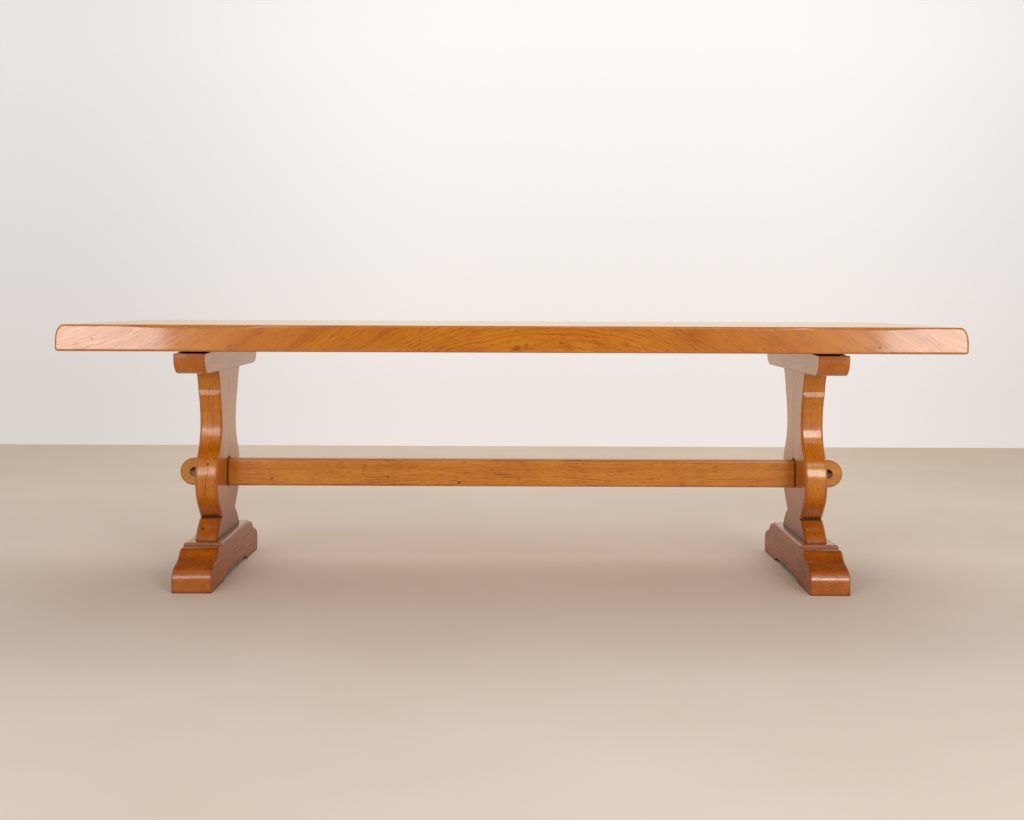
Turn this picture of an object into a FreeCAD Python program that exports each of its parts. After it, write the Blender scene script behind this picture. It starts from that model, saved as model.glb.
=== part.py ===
"""Trestle dining table: a thick boarded top on two shaped trestles, joined by a keyed stretcher.

Millimetres. +X runs along the table, -Y is the front, +Z is up.
The origin is on the floor under the middle.
Each trestle is modelled about X = 0 with its outer side towards +X, then placed to the right or mirrored.
"""
import FreeCAD, Part
import math
import os

from FreeCAD import Vector

# Top: three boards with a loose tongue in each seam
top_height = 760.0            # floor to the upper surface
top_length = 2522.0
top_width = 850.0
top_thickness = 74.0
top_middle_board = 284.0      # width of the board between the two seams
top_arris_radius = 6.0        # round the outline of both long sides
top_end_setback = 23.0        # each end's upper edge is a quarter of an ellipse, this long
top_end_drop = 41.0           # and this deep
top_end_under_radius = 9.0
tongue_width = 52.0
tongue_thickness = 14.0
tongue_stop = 70.0            # the groove stops this far from the board's end

# Long shallow scoops of the drawknife along the upper edges: place along X, depth below the square corner
scoop_radius = 5000.0
front_scoops = [(-895.0, 7.0), (-420.0, 4.2), (-60.0, 4.6), (330.0, 4.0), (700.0, 4.4), (970.0, 6.0)]
back_scoops = [(-1000.0, 5.0), (-600.0, 6.2), (-150.0, 4.2), (280.0, 5.5), (820.0, 6.6)]

# Trestles
top_overhang = 359.0          # from the top's end to the leg's middle plane

# Foot
foot_length = 676.0
foot_width = 113.0
foot_height = 118.0
ledge_length = 27.0           # flat between the ogee and the raised pad under the leg
pad_rise = 9.0
pad_step = 0.5                # upright left under the rounded long edges of the pad
toe_height = 73.5
toe_round = 38.0
toe_slope = 16.0              # degrees
toe_run = 31.5                # length of the slope behind the toe's rounding
cove_radius = 66.0            # hollow of the ogee
crest_radius = 32.0           # rounding of the ogee up to the ledge
foot_ease = 3.0
sole_length = 166.0           # each toe stands on the floor for this length, and the foot is hollow between
arch_rise = 14.0
arch_end_run = 44.0           # length of the curve at each end of the hollow
cusp_width = 64.0             # pointed notch in the middle of the hollow
cusp_rise = 10.0

# Leg plank: half widths from its seam
leg_thickness = 66.0
flare_bottom_half = 160.0
flare_top_half = 106.0
bulge_half = 165.0
waist_half = 102.0
leg_top_half = 150.0

# Leg plank: heights of its mouldings from the foot up, stretched alike to fill the leg's height
flare_height = 55.0
bulge_under_height = 123.0    # from the notch to the widest place
waist_rise = 162.0            # from the widest place to the narrowest
upper_waist_height = 87.0
bevel_height = 16.0
leg_cove_height = 60.0

# Leg plank: curves and edges
bevel_spread = 22.0           # the bevel's lower edge stands this far out from the waist
bevel_lean = 1.5              # and its upper edge this much less
flare_swell = 4.0
notch_depth = 14.0            # flat on top of the flare, under the bulge
bulge_straight = 53.5         # straight length of the bulge's underside, above the notch
leg_cove_hollow = 3.0
leg_chamfer = 6.0
flare_chamfer = 5.0
leg_dowel_diameter = 14.0
leg_dowel_length = 90.0
leg_dowels_above_mortise = 2

# Bearer under the top
bearer_length = 752.0
bearer_width = 88.0
bearer_height = 66.0
bearer_end_flat = 10.5        # upright end face; below it the end is rounded
bearer_relief = 7.5           # its ends stay clear of the top
bearer_relief_length = 130.0
bearer_relief_run = 90.0
bearer_ease = 3.0

# Leg tenons, two at each end of the leg, with one peg in each
leg_tenon_thickness = 24.0
leg_tenon_inset = 20.0        # from the leg's seam
foot_tenon_width = 100.0
foot_tenon_length = 70.0
bearer_tenon_width = 90.0
bearer_tenon_length = 45.0
mortise_end_gap = 2.0
peg_diameter = 12.0
foot_peg_length = 88.0
foot_peg_drop = 32.0          # below the foot's top
bearer_peg_length = 70.0
bearer_peg_lift = 24.0        # above the bearer's underside

# Stretcher
stretcher_height = 83.0
stretcher_thickness = 46.0
stretcher_centre_height = 302.0
stretcher_ease = 3.0
stretcher_shoulder_ease = 1.5
stretcher_tenon_thickness = 34.0
stretcher_tenon_reach = 80.0  # beyond the leg's outer face
stretcher_tenon_ease = 3.0
mortise_head_gap = 4.5        # the mortise is cut taller than the tenon

# Tapered key through each stretcher tenon
key_height = 26.0
key_width = 49.0              # from the leg's face to the nose, at the tenon's front face
key_taper = 0.04              # growth in width per length, towards the back
key_front_sink = 2.0          # its thin end stays this far inside the tenon
key_back_stand = 46.0
key_nose_drop = 12.0          # slant on the thin end's upper half
key_nose_run = 15.0
key_slot_draw = 6.0           # the slot runs this far into the leg, so that the key bears on the leg
key_ease = 2.0

# Screws that hold the top to the bearers
screw_offset = 196.0          # from the table's centre line
screw_diameter = 10.0
screw_length = 84.0           # under the head
screw_tip = 9.0
screw_head_across_flats = 17.0
screw_head_height = 7.0
washer_diameter = 25.0
washer_thickness = 2.5
counterbore_diameter = 28.0
counterbore_depth = 24.0

# Fits
joint_clearance = 0.2         # around tongues, dowels, pegs, screws and tenon edges
key_clearance = 0.3

# Levels and planes worked out from the sizes above
top_underside = top_height - top_thickness
bearer_underside = top_underside - bearer_height
leg_half_thickness = leg_thickness / 2
trestle_offset = top_length / 2 - top_overhang
stretcher_underside = stretcher_centre_height - stretcher_height / 2
stretcher_upperside = stretcher_centre_height + stretcher_height / 2


def box(low, high):
    """Box between two corners."""
    size = Vector(*high) - Vector(*low)
    return Part.makeBox(size.x, size.y, size.z, Vector(*low))


def line(a, b):
    """Straight edge."""
    return Part.LineSegment(a, b).toShape()


def arc(a, middle, b):
    """Round edge through three points."""
    return Part.Arc(a, middle, b).toShape()


def bowed(a, b, rise):
    """Round edge from a to b in the YZ plane, bowed to its left by rise."""
    along = (b - a).normalize()
    left = Vector(0, -along.z, along.y)
    return arc(a, (a + b) * 0.5 + left * rise, b)


def turn_arc(centre, radius, start, end):
    """Round edge in the YZ plane between two angles in degrees, measured from +Y towards +Z."""
    points = []
    for angle in (start, (start + end) / 2, end):
        turn = math.radians(angle)
        points.append(centre + Vector(0, radius * math.cos(turn), radius * math.sin(turn)))
    return arc(*points)


def plank(edges, thickness):
    """Solid between X = -thickness/2 and +thickness/2 from a closed outline in the YZ plane."""
    face = Part.Face(Part.Wire(edges))
    face.translate(Vector(-thickness / 2, 0, 0))
    return face.extrude(Vector(thickness, 0, 0))


def mirrored_across_y(edges):
    """The same edges on the other side of the plane Y = 0."""
    return [edge.mirror(Vector(0, 0, 0), Vector(0, 1, 0)) for edge in edges]


def middle_of(edge):
    """Point halfway along an edge."""
    return edge.valueAt((edge.FirstParameter + edge.LastParameter) / 2)


def side_edges(solid, outline, half_thickness):
    """Edges of a plank that lie above the given outline edges, on both of its faces."""
    wanted = []
    for edge in outline:
        point = middle_of(edge)
        wanted += [Vector(side * half_thickness, point.y, point.z) for side in (-1, 1)]
    return [edge for edge in solid.Edges
            if any(edge.distToShape(Part.Vertex(point))[0] < 1e-4 for point in wanted)]


def rod(start, along, diameter, length):
    """Round bar from a point along a direction."""
    return Part.makeCylinder(diameter / 2, length, start, along)


def cut_all(solid, tools):
    """Solid less every tool."""
    for tool in tools:
        solid = solid.cut(tool)
    return solid


def quarter_round(centre, side, rise):
    """Quarter of an ellipse in a plane of constant Y, from beside its centre to above or below it."""
    unit = arc(Vector(1, 0, 0), Vector(math.sqrt(0.5), 0, math.sqrt(0.5)), Vector(0, 0, 1))
    fitted = FreeCAD.Matrix()
    fitted.scale(side, 1, rise)
    fitted.move(centre)
    return unit.transformGeometry(fitted)


def top_outline():
    """Outline of the top's front side, with the upper and lower edges of both ends worked round."""
    end = top_length / 2
    front = -top_width / 2
    radius = top_end_under_radius
    shoulder = Vector(end - top_end_setback, front, top_height)
    heel = Vector(end - radius, front, top_underside)
    half = [
        quarter_round(shoulder - Vector(0, 0, top_end_drop), top_end_setback, top_end_drop),
        line(Vector(end, front, top_height - top_end_drop), Vector(end, front, top_underside + radius)),
        quarter_round(heel + Vector(0, 0, radius), radius, -radius),
    ]
    flats = [line(point, Vector(-point.x, front, point.z)) for point in (shoulder, heel)]
    return Part.__sortEdges__(half + [mirror_to_left(edge) for edge in half] + flats)


def edge_scoops():
    """Scoops along the upper long edges, each a slice of a large cylinder leaning over the edge."""
    scoops = []
    for side, row in ((-1, front_scoops), (1, back_scoops)):
        outward = Vector(0, side, 1).normalize()
        across = Vector(0, 1, -side).normalize() * top_thickness
        for along, depth in row:
            corner = Vector(along, side * top_width / 2, top_height)
            centre = corner + outward * (scoop_radius - depth)
            scoops.append(rod(centre - across * 0.5, across, 2 * scoop_radius, top_thickness))
    return scoops


def top_slab():
    """The whole top with its worked edges, before it is divided into boards."""
    slab = Part.Face(Part.Wire(top_outline())).extrude(Vector(0, top_width, 0))
    long_sides = [e for e in slab.Edges if abs(e.Vertexes[0].Y - e.Vertexes[-1].Y) < 1e-6]
    slab = slab.makeFillet(top_arris_radius, long_sides)
    return cut_all(slab, edge_scoops())


def tongue(seam, clearance):
    """Loose tongue across a seam of the top, or its groove when a clearance is given."""
    middle = (top_height + top_underside) / 2
    half = Vector(top_length / 2 - tongue_stop, tongue_width / 2, tongue_thickness / 2)
    half = half + Vector(clearance, clearance, clearance)
    centre = Vector(0, seam, middle)
    return box(tuple(centre - half), tuple(centre + half))


def screw_places():
    """Where the screws stand in a trestle, on the underside of its bearer."""
    return [Vector(0, side * screw_offset, bearer_underside) for side in (-1, 1)]


def screw_holes():
    """Clearance holes for the screws of one trestle, through the bearer and into the top."""
    depth = counterbore_depth + screw_length + mortise_end_gap
    diameter = screw_diameter + 2 * joint_clearance
    return [rod(place, Vector(0, 0, 1), diameter, depth) for place in screw_places()]


def top_boards():
    """Front, middle and back boards with their grooves and screw holes."""
    slab = top_slab()
    seam = top_middle_board / 2
    limits = {
        "top_front_board": (-top_width / 2, -seam),
        "top_middle_board": (-seam, seam),
        "top_back_board": (seam, top_width / 2),
    }
    tools = [tongue(side * seam, joint_clearance) for side in (-1, 1)]
    for place in (place_right, place_left):
        tools += [place(hole) for hole in screw_holes()]
    boards = {}
    for name, (low, high) in limits.items():
        strip = box((-top_length / 2, low, top_underside), (top_length / 2, high, top_height))
        boards[name] = cut_all(slab.common(strip), tools)
    boards["top_front_tongue"] = tongue(-seam, 0)
    boards["top_back_tongue"] = tongue(seam, 0)
    return boards


def foot_upper_outline():
    """Back half of the foot's upper outline: toe, ogee, ledge and riser, from the floor up to the pad."""
    end = foot_length / 2
    ledge = foot_height - pad_rise
    slope = math.radians(toe_slope)
    toe = turn_arc(Vector(0, end - toe_round, toe_height - toe_round), toe_round, 0, 90 - toe_slope)
    face = line(Vector(0, end, 0), toe.Vertexes[0].Point)
    toe_end = toe.Vertexes[1].Point
    slope_end = toe_end + Vector(0, -math.cos(slope), math.sin(slope)) * toe_run
    incline = line(toe_end, slope_end)

    # The two arcs of the ogee meet where it is steepest, so that together they rise to the ledge
    rise = ledge - slope_end.z
    steep_cosine = (cove_radius * math.cos(slope) + crest_radius - rise) / (cove_radius + crest_radius)
    steep = math.degrees(math.acos(steep_cosine))
    cove_centre = slope_end + Vector(0, math.sin(slope), math.cos(slope)) * cove_radius
    cove = turn_arc(cove_centre, cove_radius, -90 - toe_slope, -90 - steep)
    meeting = cove.Vertexes[1].Point
    crest_centre = meeting + (meeting - cove_centre) * (crest_radius / cove_radius)
    crest = turn_arc(crest_centre, crest_radius, 90 - steep, 90)

    crest_end = crest.Vertexes[1].Point
    pad_end = crest_end.y - ledge_length
    ledge_edge = line(crest_end, Vector(0, pad_end, ledge))
    riser = line(Vector(0, pad_end, ledge), Vector(0, pad_end, foot_height))
    return [face, toe, incline, cove, crest, ledge_edge, riser]


def foot_arch_outline():
    """Back half of the hollow under the foot, from its cusp out to where the toe meets the floor."""
    arch_end = foot_length / 2 - sole_length
    shoulder = Vector(0, arch_end - arch_end_run, arch_rise)
    cusp_foot = Vector(0, cusp_width / 2, arch_rise)
    cusp = bowed(Vector(0, 0, arch_rise + cusp_rise), cusp_foot, -cusp_rise / 4)
    flat = line(cusp_foot, shoulder)
    end = bowed(shoulder, Vector(0, arch_end, 0), arch_rise / 4)
    return [cusp, flat, end]


def foot():
    """Foot with ogee toes, a raised pad, an arched underside, and mortises for the leg."""
    upper = foot_upper_outline()
    arch = foot_arch_outline()
    pad_corner = upper[-1].Vertexes[1].Point
    pad = line(pad_corner, Vector(0, -pad_corner.y, foot_height))
    end = foot_length / 2
    soles = [line(Vector(0, side * (end - sole_length), 0), Vector(0, side * end, 0)) for side in (-1, 1)]
    edges = upper + mirrored_across_y(upper) + [pad] + soles + arch + mirrored_across_y(arch)
    solid = plank(Part.__sortEdges__(edges), foot_width)
    solid = solid.makeFillet(pad_rise - pad_step, side_edges(solid, [pad], foot_width / 2))
    eased = upper[:-1] + mirrored_across_y(upper[:-1])
    solid = solid.makeChamfer(foot_ease, side_edges(solid, eased, foot_width / 2))
    return cut_all(solid, foot_mortises() + foot_pegs(joint_clearance))


def foot_tenons(clearance):
    """Tenons at the leg's lower end, or the foot's mortises when a clearance is given."""
    tenons = []
    gap = mortise_end_gap if clearance else 0
    for side in (-1, 1):
        near = side * (leg_tenon_inset - clearance)
        far = side * (leg_tenon_inset + foot_tenon_width + clearance)
        half = leg_tenon_thickness / 2 + clearance
        low = (-half, min(near, far), foot_height - foot_tenon_length - gap)
        tenons.append(box(low, (half, max(near, far), foot_height)))
    return tenons


def foot_mortises():
    """Mortises in the foot for the leg's lower tenons."""
    return foot_tenons(joint_clearance)


def bearer_tenons(clearance):
    """Tenons at the leg's upper end, or the bearer's mortises when a clearance is given."""
    tenons = []
    gap = mortise_end_gap if clearance else 0
    for side in (-1, 1):
        near = side * (leg_tenon_inset - clearance)
        far = side * (leg_tenon_inset + bearer_tenon_width + clearance)
        half = leg_tenon_thickness / 2 + clearance
        high = (half, max(near, far), bearer_underside + bearer_tenon_length + gap)
        tenons.append(box((-half, min(near, far), bearer_underside), high))
    return tenons


def foot_pegs(clearance):
    """Pegs from the foot's outer face through the tenons, or their holes when a clearance is given."""
    middle = leg_tenon_inset + foot_tenon_width / 2
    height = foot_height - foot_peg_drop
    starts = [Vector(foot_width / 2, side * middle, height) for side in (-1, 1)]
    return [rod(start, Vector(-1, 0, 0), peg_diameter + 2 * clearance, foot_peg_length + clearance)
            for start in starts]


def bearer_pegs(clearance):
    """Pegs from the bearer's outer face through the tenons, or their holes when a clearance is given."""
    middle = leg_tenon_inset + bearer_tenon_width / 2
    height = bearer_underside + bearer_peg_lift
    starts = [Vector(bearer_width / 2, side * middle, height) for side in (-1, 1)]
    return [rod(start, Vector(-1, 0, 0), peg_diameter + 2 * clearance, bearer_peg_length + clearance)
            for start in starts]


def leg_levels():
    """Heights of the leg's notch, widest place, waist and bevel, stretched to fill the leg."""
    steps = [flare_height, bulge_under_height, waist_rise,
             upper_waist_height, bevel_height, leg_cove_height]
    stretch = (bearer_underside - foot_height) / sum(steps)
    levels = [foot_height]
    for step in steps[:-1]:
        levels.append(levels[-1] + step * stretch)
    return levels[1:]


def leg_outline():
    """Shaped edge of the leg's back half, from the foot up: its flare, its curves, its sharp mouldings."""
    ledge, widest, waist, bevel_low, bevel_high = leg_levels()
    notch_half = flare_top_half - notch_depth
    flare = bowed(Vector(0, flare_bottom_half, foot_height), Vector(0, flare_top_half, ledge), -flare_swell)
    step = line(Vector(0, flare_top_half, ledge), Vector(0, notch_half, ledge))

    # The bulge's underside starts straight, then turns up to the widest place
    depth = bulge_half - notch_half
    rise = widest - ledge
    slant = 2 * math.atan(depth / (rise + bulge_straight))
    radius = (rise - bulge_straight * math.cos(slant)) / math.sin(slant)
    lower_bulge = turn_arc(Vector(0, bulge_half - radius, widest), radius, -math.degrees(slant), 0)
    underside = line(Vector(0, notch_half, ledge), lower_bulge.Vertexes[0].Point)

    # Between widest place and waist, two arcs of one radius that are upright at both ends
    depth = bulge_half - waist_half
    rise = waist - widest
    radius = (depth ** 2 + rise ** 2) / (4 * depth)
    turn = math.degrees(math.asin(rise / (2 * radius)))
    upper_bulge = turn_arc(Vector(0, bulge_half - radius, widest), radius, 0, turn)
    lower_waist = turn_arc(Vector(0, waist_half + radius, waist), radius, 180 + turn, 180)

    rise = bevel_low - waist
    radius = (bevel_spread ** 2 + rise ** 2) / (2 * bevel_spread)
    turn = math.degrees(math.asin(rise / radius))
    upper_waist = turn_arc(Vector(0, waist_half + radius, waist), radius, 180, 180 - turn)
    bevel_start = Vector(0, waist_half + bevel_spread, bevel_low)
    bevel_end = Vector(0, waist_half + bevel_spread - bevel_lean, bevel_high)
    bevel = line(bevel_start, bevel_end)
    cove = bowed(bevel_end, Vector(0, leg_top_half, bearer_underside), leg_cove_hollow)

    return [flare], [underside, lower_bulge, upper_bulge, lower_waist, upper_waist], [step, bevel, cove]


def stretcher_mortise():
    """Opening through the leg for the stretcher's tenon, a little taller than the tenon."""
    half_width = stretcher_tenon_thickness / 2 + joint_clearance
    low = (-leg_thickness, -half_width, stretcher_underside)
    return box(low, (leg_thickness, half_width, stretcher_upperside + mortise_head_gap))


def leg_dowel_heights():
    """One dowel below the stretcher's mortise, the others spread evenly above it."""
    mortise_top = stretcher_upperside + mortise_head_gap
    spacing = (bearer_underside - mortise_top) / (leg_dowels_above_mortise + 1)
    above = [mortise_top + spacing * (i + 1) for i in range(leg_dowels_above_mortise)]
    return [(foot_height + stretcher_underside) / 2] + above


def leg_dowels(clearance):
    """Dowels across the leg's seam, or their holes when a clearance is given."""
    diameter = leg_dowel_diameter + 2 * clearance
    length = leg_dowel_length + 2 * clearance
    return [rod(Vector(0, -length / 2, height), Vector(0, 1, 0), diameter, length)
            for height in leg_dowel_heights()]


def leg_board(side):
    """Front (-1) or back (+1) board of the leg, with its tenons, half the mortise and its holes."""
    flare, curves, sharp = leg_outline()
    if side < 0:
        flare, curves, sharp = [mirrored_across_y(edges) for edges in (flare, curves, sharp)]
    bottom = Vector(0, 0, foot_height)
    top = Vector(0, 0, bearer_underside)
    closing = [
        line(bottom, Vector(0, side * flare_bottom_half, foot_height)),
        line(Vector(0, side * leg_top_half, bearer_underside), top),
        line(top, bottom),
    ]
    solid = plank(Part.__sortEdges__(flare + curves + sharp + closing), leg_thickness)
    solid = solid.makeChamfer(leg_chamfer, side_edges(solid, curves, leg_half_thickness))
    solid = solid.makeChamfer(flare_chamfer, side_edges(solid, flare, leg_half_thickness))
    own = 0 if side < 0 else 1
    solid = solid.fuse([foot_tenons(0)[own], bearer_tenons(0)[own]]).removeSplitter()
    holes = foot_pegs(joint_clearance) + bearer_pegs(joint_clearance) + leg_dowels(joint_clearance)
    return cut_all(solid, holes + [stretcher_mortise()]).Solids[0]


def bearer():
    """Bearer with rounded lower ends and relieved upper ends, with its mortises and bores."""
    end = bearer_length / 2
    relief_start = end - bearer_relief_length
    relieved = top_underside - bearer_relief
    radius = relieved - bearer_underside - bearer_end_flat
    half = [
        line(Vector(0, relief_start, top_underside), Vector(0, relief_start + bearer_relief_run, relieved)),
        line(Vector(0, relief_start + bearer_relief_run, relieved), Vector(0, end, relieved)),
        line(Vector(0, end, relieved), Vector(0, end, bearer_underside + radius)),
        turn_arc(Vector(0, end - radius, bearer_underside + radius), radius, 0, -90),
    ]
    upper = line(Vector(0, relief_start, top_underside), Vector(0, -relief_start, top_underside))
    under = line(Vector(0, end - radius, bearer_underside), Vector(0, radius - end, bearer_underside))
    edges = half + mirrored_across_y(half) + [upper, under]
    solid = plank(Part.__sortEdges__(edges), bearer_width)
    eased = half[2:] + mirrored_across_y(half[2:]) + [under]
    solid = solid.makeFillet(bearer_ease, side_edges(solid, eased, bearer_width / 2))
    bores = [rod(place, Vector(0, 0, 1), counterbore_diameter, counterbore_depth)
             for place in screw_places()]
    tools = bearer_tenons(joint_clearance) + bearer_pegs(joint_clearance) + bores + screw_holes()
    return cut_all(solid, tools)


def top_screws():
    """Hexagon-headed wood screws of one trestle, from the counterbores up into the top."""
    screws = []
    for place in screw_places():
        seat = place + Vector(0, 0, counterbore_depth - washer_thickness)
        shank_length = screw_length - screw_tip
        shank = rod(seat, Vector(0, 0, 1), screw_diameter, shank_length)
        tip_base = seat + Vector(0, 0, shank_length)
        tip = Part.makeCone(screw_diameter / 2, screw_diameter / 10, screw_tip, tip_base)
        corner = screw_head_across_flats / 2 / math.cos(math.pi / 6)
        points = [seat + Vector(corner * math.cos(i * math.pi / 3), corner * math.sin(i * math.pi / 3), 0)
                  for i in range(7)]
        head = Part.Face(Part.makePolygon(points)).extrude(Vector(0, 0, -screw_head_height))
        screws.append(head.fuse([shank, tip]).removeSplitter())
    return screws


def top_washers():
    """Washers between the screw heads and the bottoms of the counterbores."""
    washers = []
    for place in screw_places():
        seat = place + Vector(0, 0, counterbore_depth - washer_thickness)
        disc = rod(seat, Vector(0, 0, 1), washer_diameter, washer_thickness)
        hole = rod(seat, Vector(0, 0, 1), screw_diameter + 2 * joint_clearance, washer_thickness)
        washers.append(disc.cut(hole))
    return washers


def key_bar(clearance, front, back, inner):
    """Bar with a round nose that widens towards the back, from the plane X = inner outwards."""
    leg_face = trestle_offset + leg_half_thickness
    radius = key_height / 2 + clearance
    nose = leg_face + key_width - key_height / 2
    tenon_face = -stretcher_tenon_thickness / 2
    start = nose + key_taper * (front - tenon_face)
    reach = key_width
    high = Vector(start - reach, front, stretcher_centre_height + radius)
    low = Vector(start - reach, front, stretcher_centre_height - radius)
    high_nose = Vector(start, front, high.z)
    low_nose = Vector(start, front, low.z)
    tip = Vector(start + radius, front, stretcher_centre_height)
    edges = [line(low, low_nose), arc(low_nose, tip, high_nose), line(high_nose, high), line(high, low)]
    length = back - front
    bar = Part.Face(Part.Wire(edges)).extrude(Vector(key_taper * length, length, 0))
    keep = box((inner, front, low.z), (leg_face + 2 * key_width, back, high.z))
    return bar.common(keep)


def right_key():
    """Key through the right tenon, thin end to the front, driven in from behind against the leg."""
    front = key_front_sink - stretcher_tenon_thickness / 2
    back = stretcher_tenon_thickness / 2 + key_back_stand
    leg_face = trestle_offset + leg_half_thickness
    bar = key_bar(0, front, back, leg_face)
    driven_end = [e for e in bar.Edges if all(abs(v.Y - back) < 1e-6 for v in e.Vertexes)]
    bar = bar.makeChamfer(key_ease, driven_end)
    crown = stretcher_centre_height + key_height / 2
    low = Vector(leg_face, front, crown - key_nose_drop)
    high = Vector(leg_face, front, crown)
    slant = Part.makePolygon([low, high, Vector(leg_face, front + key_nose_run, crown), low])
    return bar.cut(Part.Face(slant).extrude(Vector(2 * key_width, 0, 0)))


def right_key_slot():
    """Slot in the right tenon for its key, reaching into the leg."""
    half = stretcher_tenon_thickness / 2
    inner = trestle_offset + leg_half_thickness - key_slot_draw
    return key_bar(key_clearance, -half, half, inner)


def stretcher():
    """Stretcher with eased edges, shoulders against both legs, and slotted round-ended tenons."""
    shoulder = trestle_offset - leg_half_thickness
    half = stretcher_thickness / 2
    bar = box((-shoulder, -half, stretcher_underside), (shoulder, half, stretcher_upperside))
    long_edges = [e for e in bar.Edges if abs(e.Vertexes[0].X - e.Vertexes[1].X) > shoulder]
    bar = bar.makeChamfer(stretcher_ease, long_edges)
    end_edges = [e for e in bar.Edges if all(abs(abs(v.X) - shoulder) < 1e-6 for v in e.Vertexes)]
    bar = bar.makeChamfer(stretcher_shoulder_ease, end_edges)
    tenon = stretcher_tenon(shoulder)
    slotted = tenon.cut(right_key_slot())
    return bar.fuse([slotted, mirror_to_left(slotted)]).removeSplitter()


def stretcher_tenon(shoulder):
    """Right tenon, from the shoulder through the leg to its round end."""
    radius = stretcher_height / 2
    end = trestle_offset + leg_half_thickness + stretcher_tenon_reach
    front = -stretcher_tenon_thickness / 2
    low = Vector(shoulder, front, stretcher_underside)
    high = Vector(shoulder, front, stretcher_upperside)
    low_end = Vector(end - radius, front, stretcher_underside)
    high_end = Vector(end - radius, front, stretcher_upperside)
    tip = Vector(end, front, stretcher_centre_height)
    edges = [line(low, low_end), arc(low_end, tip, high_end), line(high_end, high), line(high, low)]
    tenon = Part.Face(Part.Wire(edges)).extrude(Vector(0, stretcher_tenon_thickness, 0))
    round_edges = [e for e in tenon.Edges if abs(middle_of(e).x - end) < 1e-6]
    return tenon.makeChamfer(stretcher_tenon_ease, round_edges)


def place_right(shape):
    """A trestle piece in its place at the right."""
    return shape.translated(Vector(trestle_offset, 0, 0))


def place_left(shape):
    """A trestle piece mirrored to its place at the left."""
    return mirror_to_left(place_right(shape))


def mirror_to_left(shape):
    """A piece of the right half mirrored to the left half."""
    return shape.mirror(Vector(0, 0, 0), Vector(1, 0, 0))


def trestle_pieces():
    """Every piece of one trestle, about X = 0, by its plain name."""
    return {
        "foot": foot(),
        "leg_front_board": leg_board(-1),
        "leg_back_board": leg_board(1),
        "leg_dowels": Part.makeCompound(leg_dowels(0)),
        "bearer": bearer(),
        "foot_pegs": Part.makeCompound(foot_pegs(0)),
        "bearer_pegs": Part.makeCompound(bearer_pegs(0)),
        "top_screws": Part.makeCompound(top_screws()),
        "top_washers": Part.makeCompound(top_washers()),
    }


def table():
    """Every piece of the table in its place, by node name."""
    pieces = top_boards()
    pieces["stretcher"] = stretcher()
    pieces["right_key"] = right_key()
    pieces["left_key"] = mirror_to_left(right_key())
    for name, shape in trestle_pieces().items():
        pieces["right_" + name] = place_right(shape)
        pieces["left_" + name] = place_left(shape)
    return pieces


os.makedirs("parts", exist_ok=True)
for name, shape in table().items():
    shape.exportStep("parts/" + name + ".step")
    state = "valid" if shape.isValid() else "NOT VALID"
    print(name, len(shape.Solids), "solid(s)", state, round(shape.Volume))
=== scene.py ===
"""Looks of the trestle dining table: varnished elm, oiled oak and plated screws, in a pale studio."""

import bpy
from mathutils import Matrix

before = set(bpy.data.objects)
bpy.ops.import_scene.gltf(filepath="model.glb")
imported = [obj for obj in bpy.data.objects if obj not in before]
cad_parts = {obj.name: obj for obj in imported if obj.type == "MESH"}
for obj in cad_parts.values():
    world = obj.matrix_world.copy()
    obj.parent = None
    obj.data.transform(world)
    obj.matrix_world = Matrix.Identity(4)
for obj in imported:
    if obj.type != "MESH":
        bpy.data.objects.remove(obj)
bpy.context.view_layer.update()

import math

import bpy

# Axes of the table: X along it, Y to the back, Z up
X, Y, Z = range(3)

# Camera: place in metres, lens and sensor in millimetres, shift in widths of the frame, roll in degrees
camera_place = (0.0, -4.048, 0.831)
camera_lens = 46.23
camera_sensor = 36.0
camera_shift = (0.0, -0.1072)
camera_roll = -0.22

# Studio in metres: a wall behind the table, and a flag of black cloth behind the camera
floor_size = 60.0
wall_distance = 3.44
wall_size = (30.0, 2.8)
# The wall glows and lights the table; its glow is painted warmer low down and dimmer to the sides
wall_warm_heights = (0.3, 2.3)
wall_bright_middle = 0.6
wall_fade = (0.9, 3.4)
wall_edge_level = 0.82
flag_distance = -6.5
flag_size = (6.4, 2.6)

# Light: an even sky, and softboxes by their middle, width and height, the point they face, and watts
sky_level = 0.52
sky_colour = "fbf8f5"
lamp_colour = "fbfaf8"
softboxes = [
    ((-2.75, -4.7, 1.05), (1.3, 1.5), (-0.75, 0.0, 0.5), 46.0),
    ((2.8, -4.7, 1.05), (1.1, 1.5), (0.75, 0.0, 0.5), 41.0),
    ((-1.8, -4.7, 1.95), (0.6, 1.7), (-0.75, 0.0, 0.5), 20.0),
    ((1.85, -4.7, 1.95), (0.7, 1.7), (0.75, 0.0, 0.5), 48.0),
    ((0.3, -3.2, 3.0), (4.0, 0.55), (0.0, -0.3, 0.2), 22.0),
    ((0.3, 1.7, 3.0), (4.0, 1.2), (0.0, 0.6, 0.0), 34.0),
]

# Colours as sRGB codes, with places from 0 to 1; those of the elm go from its palest to its darkest
elm_tones = [
    (0.05, "dca244"), (0.3, "cb8425"), (0.48, "b66714"),
    (0.64, "984a0d"), (0.82, "6c2f08"), (1.0, "2c130a"),
]
# Painted shade with dirt in the corners
corner_shade_and_dirt = "2a1206"
varnish_tint = "fff8ee"
oak_tones = [(0.3, "4b2a12"), (0.5, "7a4a22"), (0.72, "96622f")]
# The left key is painted paler than the other oak, a painted light that lifts the shade in its pocket
left_key_lightened_tones = [(0.3, "6a4322"), (0.5, "8a5c30"), (0.72, "a57544")]
right_key_tones = [(0.3, "38230f"), (0.5, "5c3e22"), (0.72, "7b5a38")]
zinc_tones = [(0.3, "a59f92"), (0.7, "c9c6be")]
wall_tones = [(0.0, "efe6e1"), (1.0, "fdfaf7")]
wall_in_varnish = "f2e5d2"
flag_colour = "2b2826"
floor_tones = [(0.3, "dacbbd"), (0.7, "e1d3c6")]

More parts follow.
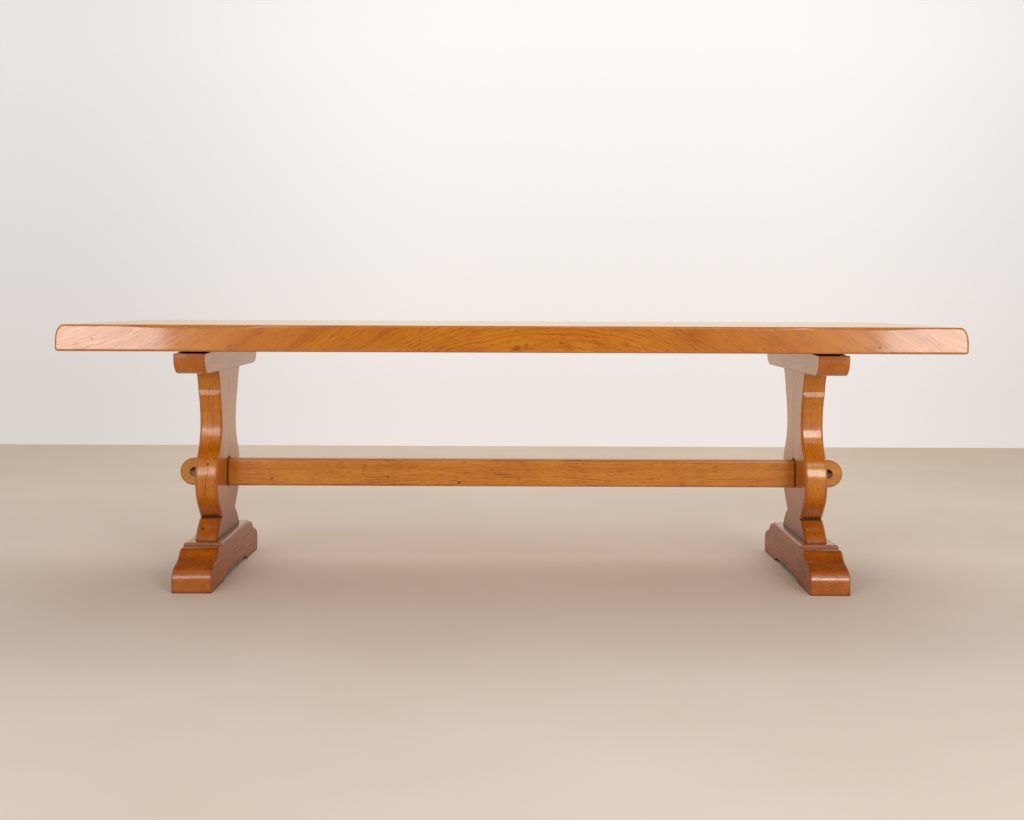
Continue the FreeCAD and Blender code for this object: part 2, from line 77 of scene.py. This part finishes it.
# Rings of the elm: width and reach of its changes in millimetres, and how many rings a change shifts
ring_width = 4.2
ring_change = 24.0
ring_unevenness = 2.2

# Bends of the grain in millimetres: how far it sways, and how long and wide the sways and the curls are
sway = 32.0
sway_span = (520, 190, 190)
curl_span = (55, 32, 32)

# Patterns of the elm in millimetres, along the grain and across it; pores are drawn wide enough to show
line_patch_span = (160, 30, 30)
fibre_span = (140, 3.2, 3.2)
pore_span = (22, 1.6, 1.6)
flame_span = (22, 60, 60)
drift_span = (330, 36, 36)
blotch_span = (150, 110, 110)
planed_span = (90, 28, 28)
pit_span = (5.2, 3.8, 3.8)
pit_group_span = (170, 60, 60)

# How strong a cell of the pattern has to be to hold a pit, from 0 to 1
pit_rarity = 0.3

# Arrises, corners and marks: reach of the arrises' own colour and of the painted shade with dirt in
# corners in metres, ragged edges of marks in millimetres
arris_reach = 0.006
corner_shade_reach = 0.02
ragged_span = (5, 5, 5)
ragged_depth = 3.0

# How much the patterns of every board darken it
shared_darkness = {"fibre": 0.38, "drift": 0.22, "blotches": 0.18, "pores": 0.2, "pits": 0.45}

# How much the patterns raise or sink the surface, in shares of its depth in metres
shared_height = {"planed": 0.4, "fibre": 0.16, "pores": -0.05, "pits": -0.6}
surface_depth = 0.001

# Varnish: how the fibres vary its roughness and its gloss, and how dull broad faces are near the floor
fibre_roughness = (-0.05, 0.07)
fibre_gloss = (1.1, 0.7)
low_dulling = 0.24

# Heights in millimetres between which the wood gets darker towards the floor
floorward_heights = (350.0, 80.0)

# How far from the middle the stretcher's tenons begin to be painted paler and are all pale, in
# millimetres: painted light where the legs shade them
tenon_light_reach = (935.0, 955.0)

# Fibres of the oak and spangles of the zinc, in millimetres
oak_fibre_length = 60
oak_fibre_width = 1.6
spangle_span = (3, 3, 3)

# Marks of age in millimetres: middle, half sizes along X, Y and Z, and lean about Y in degrees
top_marks = [((1014, -425, 704), (4.5, 8, 3.0), 0), ((-1157, -425, 720), (3.0, 8, 3.5), 0)]
stretcher_marks = [
    ((-732, -23, 283), (3.8, 8, 4.4), 0), ((-377, -23, 289), (3.2, 8, 4.6), 0),
    ((-159, -23, 272), (4.6, 8, 4.6), 0), ((-25, -23, 298), (30, 5, 1.4), 0),
    ((-8, -23, 290), (22, 5, 1.2), 0),
]
left_leg_marks = [
    ((-902, -160, 292), (1.0, 60, 47), 7.5), ((-899, -160, 343), (3.6, 20, 3.8), 0),
    ((-916, -130, 148), (3.6, 20, 4.0), 0), ((-916, -130, 133), (3.2, 20, 3.0), 0),
]
left_foot_marks = [((-845.5, -20, 36), (5, 1.3, 15), 0)]
right_foot_marks = [((934, -272, 72.5), (23, 14, 1.5), 0)]

# A plain board of elm: what darkens it, its bends and wear, its varnish, and its broad faces
plain_elm = {
    "tone": -0.02, "lines": 0.26, "flames": 0.06, "ends": 0.1,
    "painted_tenon_light": 0.0, "toward_floor": 0.0, "toward_floor_sides": 0.0,
    "curl": 5.0, "arch": None, "marks": (), "edge_colour": "8a420c",
    "relief": 0.8, "roughness": 0.18, "coat": 0.3,
    "broad_axis": X, "broad_relief": 0.3, "broad_dulling": 0.05, "broad_shine": 0.15,
}

# What the boards of the top, the legs and the feet change in it
top_look = {
    "lines": 0.3, "curl": 8.0, "edge_colour": "b0570c", "relief": 0.6, "roughness": 0.22, "coat": 1.0,
    "broad_axis": Z, "broad_relief": 0.05, "broad_dulling": 0.25, "broad_shine": 0.0,
}
# Legs and feet get darker towards the floor, on their broad faces too
leg_look = {"flames": 0.14, "toward_floor": 0.19, "toward_floor_sides": 0.18}
# The feet's end faces, at the toes, are painted paler: a painted highlight
foot_look = {"tone": 0.04, "lines": 0.16, "ends": -0.08, "toward_floor": 0.2}

# Boards of elm: way of the grain, heart of the tree across it in millimetres, seed, and own look.
# An arch of the grain is given by its crown along the board, its span and its rise, in millimetres.
elm_boards = {
    "top_front_board": (X, (-560, 380), 1, {
        **top_look, "tone": 0.0, "arch": (110, 3000, 340), "marks": top_marks}),
    "top_middle_board": (X, (-250, 590), 2, {**top_look, "tone": 0.05}),
    "top_back_board": (X, (-40, 520), 3, {**top_look, "arch": (-260, 3400, 250)}),
    "stretcher": (X, (180, 210), 4, {
        "tone": -0.04, "painted_tenon_light": -0.13, "edge_colour": "6a3008", "marks": stretcher_marks}),
    "left_leg_front_board": (Z, (-820, -60), 5, {**leg_look, "tone": -0.07, "marks": left_leg_marks}),
    "left_leg_back_board": (Z, (-820, 70), 6, {**leg_look, "tone": -0.07}),
    "right_leg_front_board": (Z, (840, -60), 7, {**leg_look, "tone": -0.1}),
    "right_leg_back_board": (Z, (840, 70), 8, {**leg_look, "tone": -0.1}),
    "left_foot": (Y, (60, -1189), 10, {**foot_look, "marks": left_foot_marks}),
    "right_foot": (Y, (60, 1218), 11, {**foot_look, "marks": right_foot_marks}),
    "left_bearer": (Y, (560, -861), 12, {"roughness": 0.13}),
    "right_bearer": (Y, (560, 882), 13, {"roughness": 0.13}),
}

# Pieces of oak: material, way of the grain, tones, nodes
oak_pieces = [
    ("oak_left_key", Y, left_key_lightened_tones, ["left_key"]),
    ("oak_right_key", Y, right_key_tones, ["right_key"]),
    ("oak_pegs", X, oak_tones, [
        "left_foot_pegs", "left_bearer_pegs", "right_foot_pegs", "right_bearer_pegs",
        "top_front_tongue", "top_back_tongue"]),
    ("oak_dowels", Y, oak_tones, ["left_leg_dowels", "right_leg_dowels"]),
]
steel_pieces = ["left_top_screws", "left_top_washers", "right_top_screws", "right_top_washers"]


def srgb(code):
    """Linear colour from an sRGB hex code."""
    values = [int(code[i:i + 2], 16) / 255 for i in (0, 2, 4)]
    linear = [v / 12.92 if v <= 0.04045 else ((v + 0.055) / 1.055) ** 2.4 for v in values]
    return (*linear, 1.0)


# Sockets go by name or number. A range has its value at 0, maps from 1 and 2, and to 3 and 4.
# A mix of colours has its share at 0, its colours at 6 and 7, and its result at output 2.
def add(tree, kind, links=None, output=0, stops=None, **settings):
    """Adds a node, sets or links its sockets, fills its colour stops, and returns an output."""
    node = tree.nodes.new("ShaderNode" + kind)
    for name, value in settings.items():
        setattr(node, name, value)
    for socket, value in (links or {}).items():
        if isinstance(value, bpy.types.NodeSocket):
            tree.links.new(value, node.inputs[socket])
        else:
            node.inputs[socket].default_value = value
    if stops:
        ramp = node.color_ramp
        while len(ramp.elements) < len(stops):
            ramp.elements.new(1.0)
        for element, (place, code) in zip(ramp.elements, stops):
            element.position = place
            element.color = srgb(code)
    return node.outputs[output]


def new_material(name):
    """Empty node material."""
    material = bpy.data.materials.new(name)
    material.use_nodes = True
    material.node_tree.nodes.clear()
    return material


def finish_material(material, shader):
    """Links the shader to the material's output."""
    end = material.node_tree.nodes.new("ShaderNodeOutputMaterial")
    material.node_tree.links.new(shader, end.inputs["Surface"])
    return material


def part_of(tree, vector, axis):
    """One of a vector's three parts."""
    return add(tree, "SeparateXYZ", {0: vector}, output=axis)


def millimetres(tree):
    """The place on the table in millimetres."""
    metres = add(tree, "TexCoord", output="Object")
    return add(tree, "VectorMath", {0: metres, 3: 1000.0}, operation="SCALE")


def along_grain(tree, place, axis):
    """The place with the grain along the first axis."""
    return add(tree, "CombineXYZ", {i: part_of(tree, place, (axis + i) % 3) for i in range(3)})


def turned_to(tree, axis, low, high, start=0.0, end=1.0):
    """Goes from start to end as a face turns towards an axis, between two cosines."""
    facing = part_of(tree, add(tree, "TexCoord", output="Normal"), axis)
    facing = add(tree, "Math", {0: facing}, operation="ABSOLUTE")
    return add(tree, "MapRange", {0: facing, 1: low, 2: high, 3: start, 4: end})


def counted(tree, place, spans):
    """The place counted in patches that are spans millimetres long, wide and deep."""
    return add(tree, "Mapping", {"Vector": place, "Scale": tuple(1 / span for span in spans)})


def mottle(tree, place, spans, seed, detail=2.0, output="Fac"):
    """Soft noise in patches that are spans millimetres long, wide and deep."""
    patches = counted(tree, place, spans)
    return add(tree, "TexNoise", {"Vector": patches, "W": seed, "Scale": 1.0, "Detail": detail},
               output=output, noise_dimensions="4D")


def age_marks(tree, place, marks, seed):
    """Knots, pits and cracks: 1 inside a mark, 0 outside, with ragged edges."""
    uneven = mottle(tree, place, ragged_span, seed, output="Color")
    depth = (ragged_depth,) * 3
    ragged = add(tree, "VectorMath", {0: uneven, 1: depth, 2: place}, operation="MULTIPLY_ADD")
    total = 0.0
    for middle, halves, lean in marks:
        centred = tuple(value + ragged_depth / 2 for value in middle)
        turn = (0, math.radians(lean), 0)
        fitted = {"Vector": ragged, "Location": centred, "Rotation": turn, "Scale": halves}
        local = add(tree, "Mapping", fitted, vector_type="TEXTURE")
        reach = add(tree, "VectorMath", {0: local}, output="Value", operation="LENGTH")
        spot = add(tree, "MapRange", {0: reach, 1: 1.25, 2: 0.5, 3: 0.0, 4: 1.0},
                   interpolation_type="SMOOTHSTEP")
        total = add(tree, "Math", {0: total, 1: spot}, operation="MAXIMUM")
    return total


def pits(tree, place, grain, marks, seed):
    """Pits and specks in loose groups, with the board's own marks of age: 1 inside one, 0 outside."""
    cells = counted(tree, grain, pit_span)
    reach = add(tree, "TexVoronoi", {"Vector": cells, "Scale": 1.0}, output="Distance")
    speck = add(tree, "MapRange", {0: reach, 1: 0.13, 2: 0.07, 3: 0.0, 4: 1.0})
    chosen = part_of(tree, reach.node.outputs["Color"], 0)
    group = mottle(tree, grain, pit_group_span, seed)
    chosen = add(tree, "Math", {0: chosen, 1: group}, operation="MULTIPLY")
    chosen = add(tree, "Math", {0: chosen, 1: pit_rarity}, operation="GREATER_THAN")
    speck = add(tree, "Math", {0: speck, 1: chosen}, operation="MULTIPLY")
    return add(tree, "Math", {0: speck, 1: age_marks(tree, place, marks, seed)}, operation="MAXIMUM")


def grown(tree, grain, curl, arch, seed):
    """The place bent as the tree grew: it sways and curls, and on a long edge it may arch."""
    slow = mottle(tree, grain, sway_span, seed, output="Color")
    quick = mottle(tree, grain, curl_span, seed + 3, output="Color")
    bent = add(tree, "VectorMath", {0: slow, 1: (0, sway, sway), 2: grain}, operation="MULTIPLY_ADD")
    bent = add(tree, "VectorMath", {0: quick, 1: (0, curl, curl), 2: bent}, operation="MULTIPLY_ADD")
    if arch:
        crown, span, rise = arch
        turn = 2 * math.pi / span
        length = part_of(tree, grain, 0)
        wave = add(tree, "Math", {0: length, 1: turn, 2: -turn * crown}, operation="MULTIPLY_ADD")
        wave = add(tree, "Math", {0: wave}, operation="COSINE")
        on_edge = turned_to(tree, Y, 0.35, 0.85, 0.0, -rise)
        drop = add(tree, "Math", {0: wave, 1: on_edge}, operation="MULTIPLY")
        drop = add(tree, "CombineXYZ", {2: drop})
        bent = add(tree, "VectorMath", {0: bent, 1: drop}, operation="ADD")
    return bent


def ring_lines(tree, bent, heart, seed):
    """Growth rings about the heart: pale early wood and dark late lines, uneven in width and strength."""
    from_heart = add(tree, "VectorMath", {0: bent, 1: (0.0, *heart)}, operation="SUBTRACT")
    across = add(tree, "VectorMath", {0: from_heart, 1: (0, 1, 1)}, operation="MULTIPLY")
    radius = add(tree, "VectorMath", {0: across}, output="Value", operation="LENGTH")
    years = add(tree, "Math", {0: radius, 1: ring_change}, operation="DIVIDE")
    uneven = add(tree, "TexNoise", {"W": years, "Scale": 1.0, "Detail": 1.0}, noise_dimensions="1D")
    rings = add(tree, "Math", {0: radius, 1: ring_width}, operation="DIVIDE")
    rings = add(tree, "Math", {0: uneven, 1: ring_unevenness, 2: rings}, operation="MULTIPLY_ADD")

    # Each line comes up slowly through its ring and ends sharply
    ring = add(tree, "Math", {0: rings}, operation="FRACT")
    late = add(tree, "MapRange", {0: ring, 1: 0.4, 2: 0.85, 3: 0.0, 4: 1.0},
               interpolation_type="SMOOTHSTEP")
    early = add(tree, "MapRange", {0: ring, 1: 1.0, 2: 0.88, 3: 0.0, 4: 1.0})
    line = add(tree, "Math", {0: late, 1: early}, operation="MULTIPLY")

    # Some years and some places have fainter lines
    year = add(tree, "Math", {0: rings}, operation="FLOOR")
    strength = add(tree, "TexWhiteNoise", {"W": year}, noise_dimensions="1D")
    strength = add(tree, "MapRange", {0: strength, 1: 0.0, 2: 1.0, 3: 0.3, 4: 1.0})
    line = add(tree, "Math", {0: line, 1: strength}, operation="MULTIPLY")
    patchy = mottle(tree, bent, line_patch_span, seed)
    patchy = add(tree, "MapRange", {0: patchy, 1: 0.35, 2: 0.65, 3: 0.15, 4: 1.0})
    return add(tree, "Math", {0: line, 1: patchy}, operation="MULTIPLY")


def elm_figure(tree, axis, heart, seed, look):
    """All patterns of a board by name, each from 0 to 1."""
    place = millimetres(tree)
    grain = along_grain(tree, place, axis)
    bent = grown(tree, grain, look["curl"], look["arch"], seed)
    pore = mottle(tree, bent, pore_span, seed + 9, detail=0.0)
    from_middle = add(tree, "Math", {0: part_of(tree, grain, 0)}, operation="ABSOLUTE")
    start, pale = tenon_light_reach
    painted_tenon_light = add(tree, "MapRange", {0: from_middle, 1: start, 2: pale, 3: 0.0, 4: 1.0})
    upper, lower = floorward_heights
    height = part_of(tree, place, Z)
    near_floor = add(tree, "MapRange", {0: height, 1: upper, 2: lower, 3: 0.0, 4: 1.0})
    broad = turned_to(tree, look["broad_axis"], 0.5, 0.95)
    return {
        "lines": ring_lines(tree, bent, heart, seed + 5),
        "fibre": mottle(tree, bent, fibre_span, seed + 7, detail=3.0),
        "pores": add(tree, "MapRange", {0: pore, 1: 0.62, 2: 0.72, 3: 0.0, 4: 1.0}),
        "flames": mottle(tree, bent, flame_span, seed + 11),
        "drift": mottle(tree, bent, drift_span, seed + 13),
        "blotches": mottle(tree, grain, blotch_span, seed + 15),
        "planed": mottle(tree, grain, planed_span, seed + 17, detail=1.0),
        "pits": pits(tree, place, grain, look["marks"], seed + 19),
        "ends": turned_to(tree, axis, 0.3, 0.95),
        "painted_tenon_light": painted_tenon_light,
        "broad": broad,
        "toward_floor": near_floor,
        "toward_floor_sides": add(tree, "Math", {0: broad, 1: near_floor}, operation="MULTIPLY"),
    }


def elm_colour(tree, figure, look):
    """Golden to dark brown, as the patterns add up to darkness from 0 to 1."""
    own = {name: look[name] for name in ("lines", "flames", "ends", "painted_tenon_light", "toward_floor", "toward_floor_sides")}
    dark = look["tone"]
    for pattern, weight in {**shared_darkness, **own}.items():
        dark = add(tree, "Math", {0: figure[pattern], 1: weight, 2: dark}, operation="MULTIPLY_ADD")
    return add(tree, "ValToRGB", {0: dark}, stops=elm_tones)


def arrises_and_corner_shade(tree, colour, fibre, rounded, edge_colour):
    """Arrises in a colour of their own, and painted shade with dirt in the corners."""
    sharp = add(tree, "NewGeometry", output="Normal")
    edge = add(tree, "VectorMath", {0: rounded, 1: sharp}, output="Value", operation="DOT_PRODUCT")
    edge = add(tree, "MapRange", {0: edge, 1: 0.995, 2: 0.88, 3: 0.0, 4: 1.5})
    edge = add(tree, "Math", {0: edge, 1: fibre}, operation="MULTIPLY")
    colour = add(tree, "Mix", {0: edge, 6: colour, 7: srgb(edge_colour)}, output=2, data_type="RGBA")
    # Painted shade with dirt: corners that ambient occlusion finds are darkened
    corner_shade = add(tree, "AmbientOcclusion", {"Distance": corner_shade_reach}, output="AO", samples=8)
    corner_shade = add(tree, "MapRange", {0: corner_shade, 1: 0.76, 2: 0.34, 3: 0.0, 4: 0.9})
    return add(tree, "Mix", {0: corner_shade, 6: colour, 7: srgb(corner_shade_and_dirt)}, output=2, data_type="RGBA")


def worked_surface(tree, figure, look, rounded):
    """Planed hollows, raised fibres, open pores and pits, flatter on the broad faces."""
    height = 0.0
    for pattern, weight in shared_height.items():
        height = add(tree, "Math", {0: figure[pattern], 1: weight, 2: height}, operation="MULTIPLY_ADD")
    strength = add(tree, "MapRange", {
        0: figure["broad"], 1: 0.0, 2: 1.0, 3: look["relief"], 4: look["broad_relief"]})
    return add(tree, "Bump", {
        "Height": height, "Distance": surface_depth, "Strength": strength, "Normal": rounded})


def varnish_roughness(tree, figure, look):
    """Satin that varies with the fibres, duller on the broad faces and most of all near the floor."""
    low, high = [look["roughness"] + step for step in fibre_roughness]
    rough = add(tree, "MapRange", {0: figure["fibre"], 1: 0.3, 2: 0.7, 3: low, 4: high})
    dulling = add(tree, "MapRange", {
        0: figure["toward_floor"], 1: 0.0, 2: 1.0, 3: look["broad_dulling"], 4: low_dulling})
    return add(tree, "Math", {0: figure["broad"], 1: dulling, 2: rough}, operation="MULTIPLY_ADD")


def varnish_shine(tree, figure, look):
    """Gloss coat: streaky on the edges, and on the broad faces full only at a low view."""
    bright, faint = [look["coat"] * share for share in fibre_gloss]
    streaks = add(tree, "MapRange", {0: figure["fibre"], 1: 0.3, 2: 0.7, 3: bright, 4: faint})
    low_view = add(tree, "LayerWeight", {"Blend": 0.5}, output="Facing")
    low_shine = add(tree, "MapRange", {0: low_view, 1: 0.9, 2: 0.97, 3: look["broad_shine"], 4: 1.0})
    return add(tree, "MapRange", {0: figure["broad"], 1: 0.0, 2: 1.0, 3: streaks, 4: low_shine})


def varnished_elm(name, axis, heart, seed, look):
    """Old elm under satin varnish: golden brown, fine lines and streaks, soft streaky highlights."""
    material = new_material(name)
    tree = material.node_tree
    figure = elm_figure(tree, axis, heart, seed, look)
    rounded = add(tree, "Bevel", {"Radius": arris_reach}, samples=4)
    colour = elm_colour(tree, figure, look)
    shader = add(tree, "BsdfPrincipled", {
        "Base Color": arrises_and_corner_shade(tree, colour, figure["fibre"], rounded, look["edge_colour"]),
        "Roughness": varnish_roughness(tree, figure, look),
        "Normal": worked_surface(tree, figure, look, rounded),
        "IOR": 1.5,
        "Specular Tint": srgb(varnish_tint),
        "Coat Weight": varnish_shine(tree, figure, look),
        "Coat Roughness": 0.08,
        "Coat IOR": 1.5,
    })
    return finish_material(material, shader)


def oiled_oak(name, axis, tones):
    """Oak keys, pegs, dowels and tongues rubbed with oil: straight grain, darker and duller than elm."""
    material = new_material(name)
    tree = material.node_tree
    spans = [oak_fibre_length if i == axis else oak_fibre_width for i in range(3)]
    fibre = mottle(tree, millimetres(tree), spans, 0.0, detail=3.0)
    shader = add(tree, "BsdfPrincipled", {
        "Base Color": add(tree, "ValToRGB", {0: fibre}, stops=tones),
        "Roughness": add(tree, "MapRange", {0: fibre, 1: 0.3, 2: 0.7, 3: 0.36, 4: 0.52}),
        "Normal": add(tree, "Bump", {"Height": fibre, "Distance": 0.0002, "Strength": 0.7}),
        "IOR": 1.5,
    })
    return finish_material(material, shader)


def zinc_plated_steel():
    """Plated steel screws and washers: bright, slightly yellowed, with fine mottling."""
    material = new_material("zinc_plated_steel")
    tree = material.node_tree
    spangle = mottle(tree, millimetres(tree), spangle_span, 0.0, detail=3.0)
    shader = add(tree, "BsdfPrincipled", {
        "Base Color": add(tree, "ValToRGB", {0: spangle}, stops=zinc_tones),
        "Roughness": add(tree, "MapRange", {0: spangle, 1: 0.3, 2: 0.7, 3: 0.26, 4: 0.44}),
        "Normal": add(tree, "Bump", {"Height": spangle, "Distance": 0.0001, "Strength": 0.5}),
        "Metallic": 1.0,
    })
    return finish_material(material, shader)


def glowing_white_wall():
    """White wall that glows and lights the table: its glow is painted warmer near the floor and dimmer to
    the sides, and it is clear from behind.
    """
    material = new_material("glowing_white_wall")
    tree = material.node_tree
    place = add(tree, "NewGeometry", output="Position")
    low, high = wall_warm_heights
    height = add(tree, "MapRange", {0: part_of(tree, place, Z), 1: low, 2: high, 3: 0.0, 4: 1.0})
    tint = add(tree, "ValToRGB", {0: height}, stops=wall_tones)

    # Reflections and bounced light get a warmer wall than the camera
    seen = add(tree, "LightPath", output="Is Camera Ray")
    tint = add(tree, "Mix", {0: seen, 6: srgb(wall_in_varnish), 7: tint}, output=2, data_type="RGBA")

    # Its glow is painted brightest in the middle, and it is seen only from the table's side
    aside = part_of(tree, place, X)
    aside = add(tree, "Math", {0: aside, 1: wall_bright_middle}, operation="SUBTRACT")
    aside = add(tree, "Math", {0: aside}, operation="ABSOLUTE")
    near, far = wall_fade
    level = add(tree, "MapRange", {0: aside, 1: near, 2: far, 3: 1.0, 4: wall_edge_level},
                interpolation_type="SMOOTHSTEP")
    shown = add(tree, "Emission", {"Color": tint, "Strength": level})
    clear = add(tree, "BsdfTransparent")
    behind = add(tree, "NewGeometry", output="Backfacing")
    return finish_material(material, add(tree, "MixShader", {0: behind, 1: shown, 2: clear}))


def black_cloth():
    """Black studio cloth, which takes the glare off varnish that faces it."""
    material = new_material("black_cloth")
    shader = add(material.node_tree, "BsdfDiffuse", {"Color": srgb(flag_colour)})
    return finish_material(material, shader)


def pale_floor():
    """Pale matt floor, faintly clouded, that takes the table's shadow."""
    material = new_material("pale_floor")
    tree = material.node_tree
    metres = add(tree, "TexCoord", output="Object")
    cloud = add(tree, "TexNoise", {"Vector": metres, "Scale": 1.1, "Detail": 3.0})
    colour = add(tree, "ValToRGB", {0: cloud}, stops=floor_tones)
    shader = add(tree, "BsdfPrincipled", {"Base Color": colour, "Roughness": 0.7, "IOR": 1.3})
    return finish_material(material, shader)


def dress(nodes, material):
    """Gives CAD nodes their material."""
    for node in nodes:
        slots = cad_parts[node].data.materials
        slots.clear()
        slots.append(material)


def dress_table():
    """Every board gets its own cut of elm, the small parts their oak and steel."""
    for node, (axis, heart, seed, own) in elm_boards.items():
        name = "elm_" + node.removesuffix("_board")
        dress([node], varnished_elm(name, axis, heart, seed, {**plain_elm, **own}))
    for name, axis, tones, nodes in oak_pieces:
        dress(nodes, oiled_oak(name, axis, tones))
    dress(steel_pieces, zinc_plated_steel())


def upright(name, distance, size, material):
    """A standing sheet of the studio that faces the table."""
    width, height = size
    lean = math.pi / 2 if distance > 0 else -math.pi / 2
    bpy.ops.mesh.primitive_plane_add(size=1, location=(0, distance, height / 2), rotation=(lean, 0, 0))
    sheet = bpy.context.object
    sheet.name = name
    sheet.scale = (width, height, 1)
    sheet.data.materials.append(material)
    return sheet


def softbox(place, size, target, power):
    """Soft rectangular lamp that faces a point of the table and isn't seen itself."""
    lamp = bpy.data.lights.new("softbox", "AREA")
    lamp.shape = "RECTANGLE"
    lamp.size, lamp.size_y = size
    lamp.energy = power
    lamp.color = srgb(lamp_colour)[:3]
    holder = bpy.data.objects.new("softbox", lamp)
    run = [end - start for start, end in zip(place, target)]
    turn = math.atan2(run[0], run[1])
    tilt = math.atan2(run[2], math.hypot(run[0], run[1]))
    holder.location = place
    holder.rotation_euler = (math.pi / 2 + tilt, 0, -turn)
    holder.visible_camera = False
    bpy.context.scene.collection.objects.link(holder)


def sky():
    """Even pale light from all round."""
    world = bpy.data.worlds.new("studio_sky")
    world.use_nodes = True
    light = world.node_tree.nodes["Background"]
    light.inputs["Color"].default_value = srgb(sky_colour)
    light.inputs["Strength"].default_value = sky_level
    bpy.context.scene.world = world


def studio():
    """Pale floor, glowing white wall behind the table, black cloth behind the camera, softboxes and sky.
    """
    bpy.ops.object.select_all(action="DESELECT")
    bpy.ops.mesh.primitive_plane_add(size=floor_size, location=(0, 0, 0))
    floor = bpy.context.object
    floor.name = "floor"
    floor.data.materials.append(pale_floor())
    upright("wall", wall_distance, wall_size, glowing_white_wall())
    flag = upright("flag", flag_distance, flag_size, black_cloth())
    flag.visible_camera = False
    for lamp in softboxes:
        softbox(*lamp)
    sky()


def camera():
    """Level camera at the photograph's place, with the frame shifted down."""
    data = bpy.data.cameras.new("camera")
    data.lens = camera_lens
    data.sensor_width = camera_sensor
    data.shift_x, data.shift_y = camera_shift
    holder = bpy.data.objects.new("camera", data)
    holder.location = camera_place
    holder.rotation_euler = (math.pi / 2, math.radians(camera_roll), 0)
    bpy.context.scene.collection.objects.link(holder)
    bpy.context.scene.camera = holder


bpy.context.scene.view_settings.view_transform = "Standard"
dress_table()
studio()
camera()
